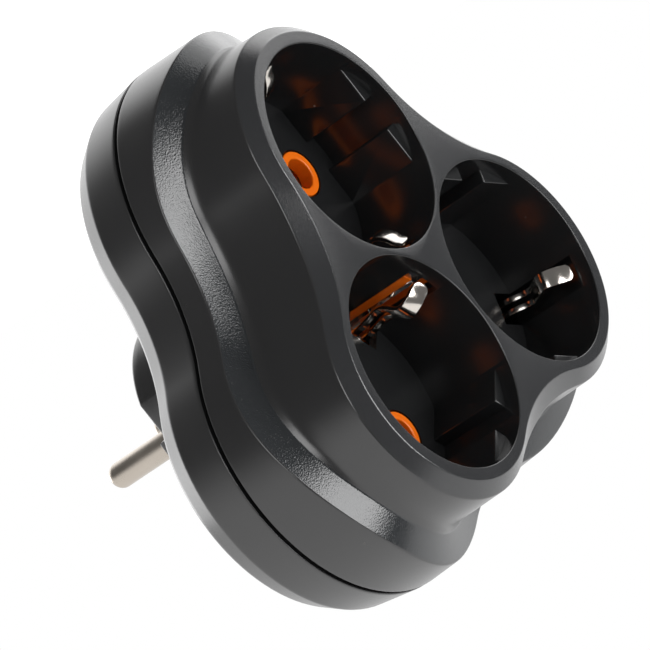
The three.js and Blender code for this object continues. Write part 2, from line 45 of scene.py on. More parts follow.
socketAngles = {"top": 90, "left": 210, "right": 330}      # degrees round the front's centre, from x to y
# round posts for the cover's screws, in the waists between the lobes
bosses = {"angles": (30, 150, 270), "radius": 3.3, "offset": 25.5, "sides": 32}
noseLevel = -56.5          # z of the plug's nose
clearance = 0.3            # gap that touching pieces keep
past = 1.0                 # how far a cutter reaches past what it cuts
bite = 0.5                 # how far a piece reaches into the one that it joins


# Meshes

def addObject(name, mesh):
    piece = bpy.data.objects.new(name, mesh)
    scene.collection.objects.link(piece)
    return piece


def meshFrom(name, points, faces, material=None):
    mesh = bpy.data.meshes.new(name)
    mesh.from_pydata([tuple(p) for p in points], [], faces)
    mesh.validate()
    if material:
        mesh.materials.append(material)
    return mesh


def finishSurface(piece, angle=32):
    mesh = piece.data
    mesh.polygons.foreach_set("use_smooth", [True] * len(mesh.polygons))
    mesh.set_sharp_from_angle(angle=math.radians(angle))
    mesh.update()


def applyModifiers(piece):
    graph = bpy.context.evaluated_depsgraph_get()
    mesh = bpy.data.meshes.new_from_object(piece.evaluated_get(graph))
    piece.modifiers.clear()
    piece.data = mesh


def combine(piece, tools, how="DIFFERENCE"):
    for tool in tools:
        cut = piece.modifiers.new("cut", "BOOLEAN")
        cut.operation = how
        cut.solver = "EXACT"
        cut.material_mode = "TRANSFER"
        cut.object = tool
    applyModifiers(piece)
    for tool in tools:
        bpy.data.objects.remove(tool)
    return piece


def bevelEdges(piece, width, segments=2, angle=40):
    bevel = piece.modifiers.new("edge", "BEVEL")
    bevel.width = width
    bevel.segments = segments
    bevel.limit_method = "ANGLE"
    bevel.angle_limit = math.radians(angle)
    bevel.use_clamp_overlap = True
    applyModifiers(piece)
    return piece


def toFrame(piece):
    # from the front view's millimetres to the frame's metres
    turn = Matrix(((1, 0, 0, 0), (0, 0, -1, noseLevel), (0, 1, 0, 0), (0, 0, 0, 1)))
    piece.data.transform(Matrix.Scale(0.001, 4) @ turn)
    return piece


def box(name, low, high, material, edge=0.0):
    grid = bmesh.new()
    bmesh.ops.create_cube(grid, size=1)
    size = Vector(high) - Vector(low)
    middle = (Vector(high) + Vector(low)) / 2
    bmesh.ops.transform(grid, verts=grid.verts,
                        matrix=Matrix.Translation(middle) @ Matrix.Diagonal((*size, 1)))
    if edge:
        bmesh.ops.bevel(grid, geom=list(grid.edges), offset=edge, segments=3, profile=0.5, affect="EDGES")
    mesh = bpy.data.meshes.new(name)
    grid.to_mesh(mesh)
    grid.free()
    mesh.materials.append(material)
    return addObject(name, mesh)


def turned(name, profile, material, place=(0, 0), sides=64):
    # a closed turned solid: the profile runs from the axis, round the outside, back to the axis
    points, faces, rims = [], [], []
    for radius, z in profile:
        if radius < 1e-6:
            rims.append([len(points)])
            points.append((place[0], place[1], z))
            continue
        rims.append(list(range(len(points), len(points) + sides)))
        for i in range(sides):
            angle = 2 * math.pi * i / sides
            points.append((place[0] + radius * math.cos(angle), place[1] + radius * math.sin(angle), z))
    for lower, upper in zip(rims, rims[1:]):
        for i in range(sides):
            j = (i + 1) % sides
            corners = [lower[i % len(lower)], lower[j % len(lower)], upper[j % len(upper)],
                       upper[i % len(upper)]]
            face = [v for n, v in enumerate(corners) if v not in corners[:n]]
            if len(face) > 2:
                faces.append(face)
    return addObject(name, meshFrom(name, points, faces, material))


def rod(name, radius, low, high, material, place=(0, 0), sides=64):
    return turned(name, [(0, low), (radius, low), (radius, high), (0, high)], material, place, sides)


def wrapAngle(angle):
    return math.atan2(math.sin(angle), math.cos(angle))


coarse = {"lobeSteps": 24, "waistSteps": 12}      # facets of the inner walls


# Three lobes joined by concave waist arcs that touch them. A level that is a function gets the wave,
# which is 1 over a lobe and -1 over a waist.
def trefoil(lobeRadius, lobeOffset, waistRadius, level, lobeSteps=44, waistSteps=22):
    reach = lobeRadius + waistRadius
    waistOffset = (lobeOffset + math.sqrt(4 * reach ** 2 - 3 * lobeOffset ** 2)) / 2
    ring = []
    for degrees in socketAngles.values():
        axis = math.radians(degrees)
        lobe = Vector((math.cos(axis), math.sin(axis))) * lobeOffset
        waistAxis = axis + math.pi / 3
        waist = Vector((math.cos(waistAxis), math.sin(waistAxis))) * waistOffset
        toWaist = waist - lobe
        sweep = wrapAngle(math.atan2(toWaist.y, toWaist.x) - axis)
        for i in range(lobeSteps + 1):
            angle = axis + sweep * (2 * i / lobeSteps - 1)
            ring.append((lobe.x + lobeRadius * math.cos(angle), lobe.y + lobeRadius * math.sin(angle)))
        first = math.atan2(-toWaist.y, -toWaist.x)
        span = 2 * wrapAngle(waistAxis + math.pi - first)
        for i in range(1, waistSteps):
            angle = first + span * i / waistSteps
            ring.append((waist.x + waistRadius * math.cos(angle), waist.y + waistRadius * math.sin(angle)))
    result = []
    for x, y in ring:
        wave = math.cos(3 * (math.atan2(y, x) - math.pi / 2))
        result.append(Vector((x, y, level(wave) if callable(level) else level)))
    return result


# Corner rings become short curves, and each band between them gets a support ring near both ends
def roundedLoft(name, corners, materials, arcSteps=5, support=0.07):
    rings, bands = [corners[0]["ring"]], []
    for k in range(1, len(corners)):
        corner = corners[k]
        before, here = corners[k - 1]["ring"], corner["ring"]
        setback = corner.get("round", 0)
        after = corners[k + 1]["ring"] if k + 1 < len(corners) else here
        curve = [[] for _ in range(arcSteps + 1)] if setback else [here]
        if setback:
            for p, c, n in zip(before, here, after):
                start = c + (p - c).normalized() * setback
                end = c + (n - c).normalized() * setback
                for s, row in enumerate(curve):
                    t = s / arcSteps
                    row.append(start * (1 - t) ** 2 + c * (2 * t * (1 - t)) + end * t ** 2)
        last, first = rings[-1], curve[0]
        for share in (support, 1 - support):
            rings.append([a.lerp(b, share) for a, b in zip(last, first)])
        bands += [corner["band"]] * 3
        rings += curve
        bands += [corner["band"]] * (len(curve) - 1)
    count = len(rings[0])
    points = [point for ring in rings for point in ring]
    faces = [list(range(count))[::-1]]
    faceBands = [corners[0]["band"]]
    for r, band in enumerate(bands):
        for i in range(count):
            a, b = r * count + i, r * count + (i + 1) % count
            faces.append([a, b, b + count, a + count])
            faceBands.append(band)
    faces.append([len(points) - count + i for i in range(count)])
    faceBands.append(corners[-1]["band"])
    mesh = bpy.data.meshes.new(name)
    mesh.from_pydata([tuple(p) for p in points], [], faces)
    names = list(materials)
    for slotName in names:
        mesh.materials.append(materials[slotName])
    mesh.polygons.foreach_set("material_index", [names.index(band) for band in faceBands])
    return addObject(name, mesh)


def plainLoft(name, rings, material):
    corners = [{"ring": ring, "band": "only"} for ring in rings]
    return roundedLoft(name, corners, {"only": material})


# Materials

def newMaterial(name):
    material = bpy.data.materials.new(name)
    material.use_nodes = True
    tree = material.node_tree
    return material, tree, tree.nodes["Principled BSDF"]


def addNode(tree, kind, settings=None, **links):
    node = tree.nodes.new(kind)
    for key, value in (settings or {}).items():
        if hasattr(node, key):
            setattr(node, key, value)
        else:
            node.inputs[key].default_value = value
    for socket, source in links.items():
        tree.links.new(source, node.inputs[socket])
    return node


def rampNode(tree, source, stops):
    ramp = tree.nodes.new("ShaderNodeValToRGB")
    tree.links.new(source, ramp.inputs["Fac"])
    elements = ramp.color_ramp.elements
    while len(elements) < len(stops):
        elements.new(0.5)
    for element, (position, value) in zip(elements, stops):
        element.position = position
        element.color = (value, value, value, 1) if isinstance(value, float) else (*value, 1)
    return ramp


plasticLooks = {
    "facePlastic": {"colour": (0.0255, 0.0265, 0.0285), "roughness": 0.20, "gloss": 1.0, "grain": 4200,
                    "grainDepth": 0.030, "dust": 0.35},
    "shoulderPlastic": {"colour": (0.0240, 0.0265, 0.0290), "roughness": 0.12, "gloss": 0.85, "grain": 3600,
                        "grainDepth": 0.050, "dust": 0.35},
    "sidePlastic": {"colour": (0.0250, 0.0248, 0.0255), "roughness": 0.24, "gloss": 1.0, "grain": 1800,
                    "grainDepth": 0.004, "dust": 0.25},
    # this plastic is about half as bright as the face's plastic of the same moulding: the darker colour is
    # painted shade for the wells and the other hollows that its cutters leave; the extra dust is real
    "shadedHollowPlastic": {"colour": (0.0135, 0.0140, 0.0146), "roughness": 0.20, "gloss": 0.7, "grain": 1500,
                    "grainDepth": 0.004, "dust": 0.6},
}


# What the black plastics share: noise scales, spread of tint and gloss, and the edges of the dust specks
plasticDetail = {
    "cloud": 45.0, "tintSpread": 0.12, "glossSpread": 0.07,
    "speck": 260.0, "speckEdge": (0.035, 0.05), "seldom": 310.0, "seldomEdge": (0.66, 0.70),
    "dustColour": (0.32, 0.30, 0.27),
}


# Moulded black plastic: fine grain, faint unevenness of the gloss, and a few specks of dust
def blackPlastic(name):
    look, detail = plasticLooks[name], plasticDetail
    material, tree, shader = newMaterial(name)
    shader.inputs["Specular IOR Level"].default_value = look["gloss"]
    place = addNode(tree, "ShaderNodeTexCoord").outputs["Object"]
    cloud = addNode(tree, "ShaderNodeTexNoise", {"Scale": detail["cloud"], "Detail": 4.0}, Vector=place)
    grain = addNode(tree, "ShaderNodeTexNoise", {"Scale": look["grain"], "Detail": 2.0}, Vector=place)
    speck = addNode(tree, "ShaderNodeTexVoronoi", {"Scale": detail["speck"]}, Vector=place)
    seldom = addNode(tree, "ShaderNodeTexNoise", {"Scale": detail["seldom"], "Detail": 0.0}, Vector=place)
    (full, gone), (none, some) = detail["speckEdge"], detail["seldomEdge"]
    tiny = rampNode(tree, speck.outputs["Distance"], [(full, 1.0), (gone, 0.0)])
    few = rampNode(tree, seldom.outputs["Fac"], [(none, 0.0), (some, look["dust"])])
    dust = addNode(tree, "ShaderNodeMath", {"operation": "MULTIPLY"})
    tree.links.new(tiny.outputs["Color"], dust.inputs[0])
    tree.links.new(few.outputs["Color"], dust.inputs[1])
    low, high = (tuple(c * (1 + side * detail["tintSpread"]) for c in look["colour"]) for side in (-1, 1))
    base = rampNode(tree, cloud.outputs["Fac"], [(0.3, low), (0.7, high)])
    colour = addNode(tree, "ShaderNodeMix", {"data_type": "RGBA"})
    tree.links.new(dust.outputs[0], colour.inputs[0])
    tree.links.new(base.outputs["Color"], colour.inputs[6])
    colour.inputs[7].default_value = (*detail["dustColour"], 1)
    tree.links.new(colour.outputs[2], shader.inputs["Base Color"])
    shine, spread = look["roughness"], look["roughness"] * detail["glossSpread"]
    gloss = rampNode(tree, cloud.outputs["Fac"], [(0.25, shine - spread), (0.75, shine + spread)])
    tree.links.new(gloss.outputs["Color"], shader.inputs["Roughness"])
    bump = addNode(tree, "ShaderNodeBump", {"Strength": 1.0, "Distance": look["grainDepth"] / 1000},
                   Height=grain.outputs["Fac"])
    tree.links.new(bump.outputs["Normal"], shader.inputs["Normal"])
    return material


metalLooks = {
    "nickelPlate": {"colour": (0.80, 0.75, 0.69), "roughness": 0.14, "scratch": 0.006},
    "satinNickel": {"colour": (0.60, 0.54, 0.47), "roughness": 0.30, "scratch": 0.012},
    "rolledBrass": {"colour": (0.72, 0.50, 0.19), "roughness": 0.30, "scratch": 0.020},
    "zincSteel": {"colour": (0.56, 0.57, 0.59), "roughness": 0.33, "scratch": 0.015},
}


# What the metals share: noise scales, with the scratches drawn out along x, and the range of tint and gloss
metalDetail = {"cloud": 180.0, "stretch": (300.0, 2600.0, 1400.0), "darkTint": 0.90, "gloss": (0.8, 1.25)}


# Plated or rolled metal with cloudy gloss and fine scratches
def platedMetal(name):
    look, detail = metalLooks[name], metalDetail
    material, tree, shader = newMaterial(name)
    shader.inputs["Metallic"].default_value = 1.0
    place = addNode(tree, "ShaderNodeTexCoord").outputs["Object"]
    cloud = addNode(tree, "ShaderNodeTexNoise", {"Scale": detail["cloud"], "Detail": 3.0}, Vector=place)
    stretch = addNode(tree, "ShaderNodeMapping", {"Scale": detail["stretch"]}, Vector=place)
    fine = addNode(tree, "ShaderNodeTexNoise", {"Scale": 1.0, "Detail": 3.0}, Vector=stretch.outputs[0])
    low = tuple(c * detail["darkTint"] for c in look["colour"])
    tint = rampNode(tree, cloud.outputs["Fac"], [(0.3, low), (0.7, look["colour"])])
    tree.links.new(tint.outputs["Color"], shader.inputs["Base Color"])
    smooth, dull = (look["roughness"] * share for share in detail["gloss"])
    gloss = rampNode(tree, cloud.outputs["Fac"], [(0.3, smooth), (0.7, dull)])
    tree.links.new(gloss.outputs["Color"], shader.inputs["Roughness"])
    bump = addNode(tree, "ShaderNodeBump", {"Strength": 1.0, "Distance": look["scratch"] / 1000},
                   Height=fine.outputs["Fac"])
    tree.links.new(bump.outputs["Normal"], shader.inputs["Normal"])
    return material


insertLooks = {
    "orangeInsert": {"low": (0.98, 0.172, 0.004), "high": (1.0, 0.196, 0.006), "roughness": 0.32},
    "insulatingBoard": {"low": (0.62, 0.55, 0.43), "high": (0.72, 0.66, 0.54), "roughness": 0.6},
}
insertDetail = {"cloud": 220.0, "grain": 2200.0, "grainDepth": 0.010}


# Moulded insert in one colour, slightly cloudy
def mouldedInsert(name):
    look, detail = insertLooks[name], insertDetail
    material, tree, shader = newMaterial(name)
    place = addNode(tree, "ShaderNodeTexCoord").outputs["Object"]
    cloud = addNode(tree, "ShaderNodeTexNoise", {"Scale": detail["cloud"], "Detail": 3.0}, Vector=place)
    grain = addNode(tree, "ShaderNodeTexNoise", {"Scale": detail["grain"], "Detail": 1.0}, Vector=place)
    tint = rampNode(tree, cloud.outputs["Fac"], [(0.3, look["low"]), (0.7, look["high"])])
    tree.links.new(tint.outputs["Color"], shader.inputs["Base Color"])
    shader.inputs["Roughness"].default_value = look["roughness"]
    bump = addNode(tree, "ShaderNodeBump", {"Strength": 1.0, "Distance": detail["grainDepth"] / 1000},
                   Height=grain.outputs["Fac"])
    tree.links.new(bump.outputs["Normal"], shader.inputs["Normal"])
    return material


facePlastic = blackPlastic("facePlastic")
shoulderPlastic = blackPlastic("shoulderPlastic")
sidePlastic = blackPlastic("sidePlastic")
# darker colour of this plastic is painted shade in the wells and hollows
shadedHollowPlastic = blackPlastic("shadedHollowPlastic")
nickelPlate = platedMetal("nickelPlate")
satinNickel = platedMetal("satinNickel")
rolledBrass = platedMetal("rolledBrass")
zincSteel = platedMetal("zincSteel")
orangeInsert = mouldedInsert("orangeInsert")
insulatingBoard = mouldedInsert("insulatingBoard")
print("materials made")


# Camera and stage

cameraSetup = {
    "place": (-0.57944, -0.42539, 0.08022),
    "lookAt": (-0.0049455, -0.03331693, 0.00125938),
    "roll": -38.35,         # degrees, turns the picture round its centre
    "lens": 229.7,
    "sensor": 36.0,
    "clipStart": 0.05,
}


def addCamera():
    camera = bpy.data.objects.new("camera", bpy.data.cameras.new("camera"))
    scene.collection.objects.link(camera)
    camera.data.lens = cameraSetup["lens"]
    camera.data.sensor_width = cameraSetup["sensor"]
    camera.data.clip_start = cameraSetup["clipStart"]
    look = Vector(cameraSetup["lookAt"]) - Vector(cameraSetup["place"])
    turn = look.to_track_quat("-Z", "Y").to_matrix().to_4x4()
    roll = Matrix.Rotation(math.radians(cameraSetup["roll"]), 4, "Z")
    camera.matrix_world = Matrix.Translation(cameraSetup["place"]) @ turn @ roll
    scene.camera = camera


stageSetup = {
    "tableLevel": -0.47,       # metres below the plug's axis
    "tableEdge": -0.43,        # the table ends in front of the sockets
    "tableReach": 6.0,
    "tableWhite": 0.9,
    "tableRoughness": 0.9,
    "roomStrength": 0.14,      # the dark room on the camera's side
}
# What the object sees round it: where (azimuth from +x towards +y, elevation) and half sizes in degrees
studioPanels = {
    "backdrop": {"where": (35, 12), "half": (52, 36), "soft": 0.35, "strength": 1.4},
    "backdropGlow": {"where": (70, -6), "half": (12, 16), "soft": 0.15, "strength": 1.9},
    "sideGlow": {"where": (125, -6), "half": (50, 20), "soft": 0.30, "strength": 0.85},
    "cameraLight": {"where": (200, 27), "half": (13, 13), "soft": 0.08, "strength": 3.0},
}


def addMath(tree, how, first, second):
    node = addNode(tree, "ShaderNodeMath", {"operation": how})
    for socket, value in zip(node.inputs, (first, second)):
        if isinstance(value, (int, float)):
            socket.default_value = value
        else:
            tree.links.new(value, socket)
    return node.outputs[0]


# Brightness of one soft-edged panel of the studio, seen from the object
def panelLight(tree, direction, panel):
    azimuth, height = (math.radians(a) for a in panel["where"])
    forward = Vector((math.cos(azimuth) * math.cos(height), math.sin(azimuth) * math.cos(height),
                      math.sin(height)))
    across = Vector((-math.sin(azimuth), math.cos(azimuth), 0))
    ahead = addNode(tree, "ShaderNodeVectorMath", {"operation": "DOT_PRODUCT"})
    tree.links.new(direction, ahead.inputs[0])
    ahead.inputs[1].default_value = forward
    distance = addMath(tree, "MAXIMUM", ahead.outputs["Value"], 0.001)
    light = panel["strength"]
    for axis, half in zip((across, forward.cross(across)), panel["half"]):
        offset = addNode(tree, "ShaderNodeVectorMath", {"operation": "DOT_PRODUCT"})
        tree.links.new(direction, offset.inputs[0])
        offset.inputs[1].default_value = axis
        slope = addMath(tree, "DIVIDE", addMath(tree, "ABSOLUTE", offset.outputs["Value"], 0), distance)
        edge = math.tan(math.radians(half))
        inside = addNode(tree, "ShaderNodeMapRange", {"interpolation_type": "SMOOTHSTEP",
                                                      "From Min": edge + panel["soft"],
                                                      "From Max": edge - panel["soft"]}, Value=slope)
        light = addMath(tree, "MULTIPLY", inside.outputs["Result"], light)
    return light


def addWorld():
    world = bpy.data.worlds.new("studio")
    scene.world = world
    world.use_nodes = True
    tree = world.node_tree
    tree.nodes.clear()
    direction = addNode(tree, "ShaderNodeTexCoord").outputs["Generated"]
    panels = {name: panelLight(tree, direction, panel) for name, panel in studioPanels.items()}
    total = stageSetup["roomStrength"]
    for light in panels.values():
        total = addMath(tree, "ADD", light, total)
    # white for the camera, and the white backdrop shows in metal too
    path = addNode(tree, "ShaderNodeLightPath")
    mirrored = addMath(tree, "MAXIMUM", path.outputs["Is Glossy Ray"], path.outputs["Is Transmission Ray"])
    shown = addMath(tree, "MULTIPLY", mirrored, addMath(tree, "MINIMUM", panels["backdrop"], 1.0))
    white = addMath(tree, "MAXIMUM", path.outputs["Is Camera Ray"], shown)
    strength = addMath(tree, "MAXIMUM", white, total)
    light = addNode(tree, "ShaderNodeBackground", {"Color": (1, 1, 1, 1)}, Strength=strength)
    output = addNode(tree, "ShaderNodeOutputWorld")
    tree.links.new(light.outputs[0], output.inputs["Surface"])


def addFloor():
    reach, edge, level = stageSetup["tableReach"], stageSetup["tableEdge"], stageSetup["tableLevel"]
    corners = [(-reach, edge, level), (reach, edge, level), (reach, reach, level), (-reach, reach, level)]
    material, tree, shader = newMaterial("paleFloor")
    white = stageSetup["tableWhite"]
    shader.inputs["Base Color"].default_value = (white, white, white, 1)
    shader.inputs["Roughness"].default_value = stageSetup["tableRoughness"]
    glow = addNode(tree, "ShaderNodeEmission", {"Strength": 1.0})
    path = addNode(tree, "ShaderNodeLightPath")
    mirrored = addMath(tree, "MAXIMUM", path.outputs["Is Glossy Ray"], path.outputs["Is Transmission Ray"])
    mix = addNode(tree, "ShaderNodeMixShader")
    tree.links.new(addMath(tree, "MAXIMUM", path.outputs["Is Camera Ray"], mirrored), mix.inputs[0])
    tree.links.new(shader.outputs[0], mix.inputs[1])
    tree.links.new(glow.outputs[0], mix.inputs[2])
    tree.links.new(mix.outputs[0], tree.nodes["Material Output"].inputs["Surface"])
    floor = addObject("floor", meshFrom("floor", corners, [(0, 1, 2, 3)], material))


# Softbox in front of the sockets, and a pale card close by on the right
lamps = {
    "frontSoftbox": {"place": (0.0, -0.78, -0.12), "lookAt": (0.0, 0.0, -0.12), "size": (0.55, 0.58),
                     "roll": 0, "power": 5.2},
    "rightCard": {"place": (0.29, -0.17, 0.172), "lookAt": (0.0, -0.03, 0.172), "size": (0.30, 0.30),
                  "roll": 27, "power": 0.37},
}


def addLamps():
    for name, lamp in lamps.items():
        light = bpy.data.lights.new(name, "AREA")
        light.shape = "RECTANGLE"
        light.size, light.size_y = lamp["size"]
        light.energy = lamp["power"]
        piece = bpy.data.objects.new(name, light)
        scene.collection.objects.link(piece)
        place = Vector(lamp["place"])
        aim = (Vector(lamp["lookAt"]) - place).to_track_quat("-Z", "Y").to_matrix().to_4x4()
        roll = Matrix.Rotation(math.radians(lamp["roll"]), 4, "Z")
        piece.matrix_world = Matrix.Translation(place) @ aim @ roll


addCamera()
addWorld()
addFloor()
addLamps()
print("camera, stage and lamps made")


# Front shell

wells = {
    "radius": 19.5, "depth": 17.5, "offset": 23.2, "mouthRound": 0.2, "mouthSteps": 6,
    "guideFlat": 16.8, "guideGap": 6.0, "guideTop": 3.0, "guideRound": 0.25,
    "slotWidth": 6.2, "slotTop": 3.0, "slotReach": 1.9, "slotFloor": 14.6, "slotRoot": 1.5,
    "pinPitch": 19.0, "sleeveHole": 4.6,
}
frontShell = {
    "partingLevel": -24.4, "partingRound": 0.25, "baseLobe": 30.3, "baseWaist": 34.0,
    "shoulderLevel": 15.9, "shoulderSweep": 3.6, "shoulderPeak": 1.95, "shoulderDrop": 2.0,
    "shoulderLobe": 29.8, "shoulderRound": 0.25, "innerRound": 0.2,
    "upperOffset": 24.0, "upperWaist": 46.7, "flareLobe": 24.6, "footLobe": 23.8, "flareHeight": 2.6,
    "chamferLobe": 23.4, "chamferLevel": -2.4, "chamferRound": 0.25,
    "faceLobe": 21.1, "faceWaist": 34.0, "faceRound": 0.2,
    "hollowReach": 0.2, "hollowRise": 0.45, "hollowRounds": (0.7, 0.9), "partingRim": 1.0, "faceRim": 0.9,
    "wall": 2.2, "slopeWall": 2.42, "faceWall": 2.6, "floorWall": 1.8, "cupWall": 2.6, "chamber": 3.0,
}


# The shoulder's edge, high over the lobes and low over the waists
def shoulderLine(lower):
    middle, sweep, peak = (frontShell[key] for key in ("shoulderLevel", "shoulderSweep", "shoulderPeak"))
    return lambda wave: -middle + sweep * wave + peak * wave ** 2 - lower


# From the parting line up the side, in over the shoulder, up the concave foot and wall, over the chamfer
def frontSkin():
    f, offset, upper = frontShell, wells["offset"], frontShell["upperOffset"]
    base, waist, level = f["baseLobe"], f["baseWaist"], f["partingLevel"]
    shoulder = f["shoulderLobe"]
    rise = f["flareHeight"]
    lowRound, highRound = f["hollowRounds"]
    rim, faceRim = f["partingRim"], f["faceRim"]
    corners = [
        {"ring": trefoil(base - rim, offset, waist + rim, level), "band": "side"},
        {"ring": trefoil(base, offset, waist, level), "band": "side", "round": f["partingRound"]},
        {"ring": trefoil(shoulder, offset, waist + base - shoulder, shoulderLine(f["shoulderDrop"])),
         "band": "side", "round": f["shoulderRound"]},
        {"ring": trefoil(f["flareLobe"], upper, f["upperWaist"], shoulderLine(0)),
         "band": "shoulder", "round": f["innerRound"]},
        {"ring": trefoil(f["footLobe"] + f["hollowReach"], upper, f["upperWaist"],
                         shoulderLine(-rise * f["hollowRise"])), "band": "side", "round": lowRound},
        {"ring": trefoil(f["footLobe"], upper, f["upperWaist"], shoulderLine(-rise)),
         "band": "side", "round": highRound},
        {"ring": trefoil(f["chamferLobe"], upper, f["upperWaist"], f["chamferLevel"]),
         "band": "side", "round": f["chamferRound"]},
        {"ring": trefoil(f["faceLobe"], upper, f["faceWaist"], 0), "band": "face", "round": f["faceRound"]},
        {"ring": trefoil(f["faceLobe"] - faceRim, upper, f["faceWaist"] + faceRim, 0), "band": "face"},
    ]
    return roundedLoft("frontShell", corners, {"side": sidePlastic, "shoulder": shoulderPlastic,
                                               "face": facePlastic, "well": shadedHollowPlastic})


def inSocket(piece, degrees):
    # drawn with the socket's axis on the origin and the outward way along x
    turn = Matrix.Rotation(math.radians(degrees), 4, "Z")
    piece.data.transform(turn @ Matrix.Translation((wells["offset"], 0, 0)))
    return piece


def atBoss(piece, degrees):
    # drawn in its place along x
    piece.data.transform(Matrix.Rotation(math.radians(degrees), 4, "Z"))
    return piece


def screwBoss(low, high, degrees):
    boss = rod("boss", bosses["radius"], low, high, shadedHollowPlastic, place=(bosses["offset"], 0),
               sides=bosses["sides"])
    return atBoss(boss, degrees)


# The room inside the front shell, without the cups of the wells and the screw bosses
def frontCavity():
    f, offset, upper = frontShell, wells["offset"], frontShell["upperOffset"]
    wall, under, level = f["wall"], f["slopeWall"], f["partingLevel"]
    inner, outer = f["baseLobe"] - wall, f["baseWaist"] + wall
    cavity = plainLoft("cavity", [
        trefoil(inner, offset, outer, level - past, **coarse),
        trefoil(inner, offset, outer, level, **coarse),
        trefoil(inner, offset, outer, shoulderLine(f["shoulderDrop"] + under), **coarse),
        trefoil(f["footLobe"] - wall, upper, f["upperWaist"] + wall, shoulderLine(under), **coarse),
        trefoil(f["chamferLobe"] - wall, upper, f["upperWaist"] + wall, -f["faceWall"], **coarse),
    ], shadedHollowPlastic)
    keep = [inSocket(rod("cup", wells["radius"] + f["cupWall"], -wells["depth"] - f["floorWall"], bite,
                         shadedHollowPlastic, sides=96), degrees) for degrees in socketAngles.values()]
    keep += [screwBoss(level + bite, -f["faceWall"] + bite, degrees) for degrees in bosses["angles"]]
    return combine(cavity, keep)


# A well's bore, with its mouth rounded and room left for the four guide ribs
def wellBore():
    w = wells
    edge, steps, radius = w["mouthRound"], w["mouthSteps"], w["radius"]
    profile = [(0, -w["depth"]), (radius, -w["depth"])]
    for s in range(steps + 1):
        angle = math.pi - s / steps * math.pi / 2
        profile.append((radius + edge + edge * math.cos(angle), -edge + edge * math.sin(angle)))
    profile += [(radius + edge, past), (0, past)]
    bore = turned("bore", profile, shadedHollowPlastic, sides=144)
    low, reach = -w["depth"] - past, radius + 2 * past
    ribs = []
    for side in (-1, 1):
        for half in (-1, 1):
            xs = sorted((half * w["guideGap"] / 2, half * reach))
            ys = sorted((side * w["guideFlat"], side * reach))
            ribs.append(box("rib", (xs[0], ys[0], low), (xs[1], ys[1], -w["guideTop"]), shadedHollowPlastic,
                            w["guideRound"]))
    return combine(bore, ribs)


# The slots and floor notches of the earth clips, and the holes of the sleeves
def wellCuts():
    w = wells
    under = -w["depth"] - frontShell["floorWall"] - past
    far = w["radius"] + w["slotReach"]
    half = w["slotWidth"] / 2
    cuts = []
    for side in (-1, 1):
        xs = sorted((side * (w["radius"] - w["slotRoot"]), side * far))
        cuts.append(box("slot", (xs[0], -half, under), (xs[1], half, -w["slotTop"]), shadedHollowPlastic))
        xs = sorted((side * w["slotFloor"], side * far))
        cuts.append(box("notch", (xs[0], -half, under), (xs[1], half, -w["depth"] + bite), shadedHollowPlastic))
        cuts.append(rod("hole", w["sleeveHole"], under, -w["depth"] + past, shadedHollowPlastic,
                        place=(0, side * w["pinPitch"] / 2)))
    return cuts


def addFrontShell():
    shell = frontSkin()
    tools = [frontCavity()]
    for degrees in socketAngles.values():
        tools.append(inSocket(wellBore(), degrees))
        tools += [inSocket(cut, degrees) for cut in wellCuts()]
    tools.append(rod("chamber", frontShell["chamber"], -wells["depth"] - frontShell["floorWall"] - past,
                     -wells["slotTop"], shadedHollowPlastic, sides=48))
    combine(shell, tools)
    toFrame(shell)
    finishSurface(shell)
    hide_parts("front_housing")
    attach(shell, "root")


addFrontShell()
print("front shell made")


# Back shell with the plug body

backShell = {
    "frontLevel": -25.2, "sideLevel": -33.4, "backLevel": -38.5, "lobe": 30.3, "waist": 34.0,
    "sideLobe": 29.3, "sideWaist": 31.0, "backLobe": 26.4, "backWaist": 33.9,
    "edgeRound": 0.3, "creaseRound": 0.35, "backRound": 1.3,
    "backRim": 2.0, "partingRim": 1.0, "wall": 2.2, "backWall": 1.8,
    "tongueHeight": 2.4, "tongueWall": 1.4, "tongueFoot": 2.0, "rootTop": 0.2,
    "headSink": 3.2, "headDepth": 2.2, "shankHole": 1.8,
}
plug = {
    "radius": 18.25, "arcSteps": 36, "flat": 15.9, "rib": 4.0, "ribReach": 18.4, "ribSteps": 4,
    "bevel": 0.8, "bevelSteps": 4, "noseBand": 2.0, "wall": 1.9, "noseWall": 2.2,
    "grooveWidth": 7.6, "grooveDepth": 16.2, "pinHole": 2.7, "stripWindow": 3.6,
    "stripThickness": 0.8,
}


def backSkin():
    b, offset = backShell, wells["offset"]
    backRim, rim = b["backRim"], b["partingRim"]
    corners = [
        {"ring": trefoil(b["backLobe"] - backRim, offset, b["backWaist"] + backRim, b["backLevel"]),
         "band": "side"},
        {"ring": trefoil(b["backLobe"], offset, b["backWaist"], b["backLevel"]), "band": "side",
         "round": b["backRound"]},
        {"ring": trefoil(b["sideLobe"], offset, b["sideWaist"], b["sideLevel"]), "band": "side",
         "round": b["creaseRound"]},
        {"ring": trefoil(b["lobe"], offset, b["waist"], b["frontLevel"]), "band": "side",
         "round": b["edgeRound"]},
        {"ring": trefoil(b["lobe"] - rim, offset, b["waist"] + rim, b["frontLevel"]), "band": "side"},
    ]
    return roundedLoft("backShell", corners, {"side": sidePlastic, "well": shadedHollowPlastic})


def backCavity():
    b, offset, wall = backShell, wells["offset"], backShell["wall"]
    inside = b["backLevel"] + b["backWall"]
    inner, outer = b["lobe"] - wall, b["waist"] + wall
    return plainLoft("cavity", [
        trefoil(b["backLobe"] - wall, offset, b["backWaist"] + wall, inside, **coarse),
        trefoil(b["sideLobe"] - wall, offset, b["sideWaist"] + wall, b["sideLevel"], **coarse),
        trefoil(inner, offset, outer, b["frontLevel"], **coarse),
        trefoil(inner, offset, outer, b["frontLevel"] + past, **coarse),
    ], shadedHollowPlastic)


def tongueLoft(name, inset, low, high):
    b = backShell
    return plainLoft(name, [trefoil(b["lobe"] - inset, wells["offset"], b["waist"] + inset, level,
                                    lobeSteps=32, waistSteps=16) for level in (low, high)], shadedHollowPlastic)


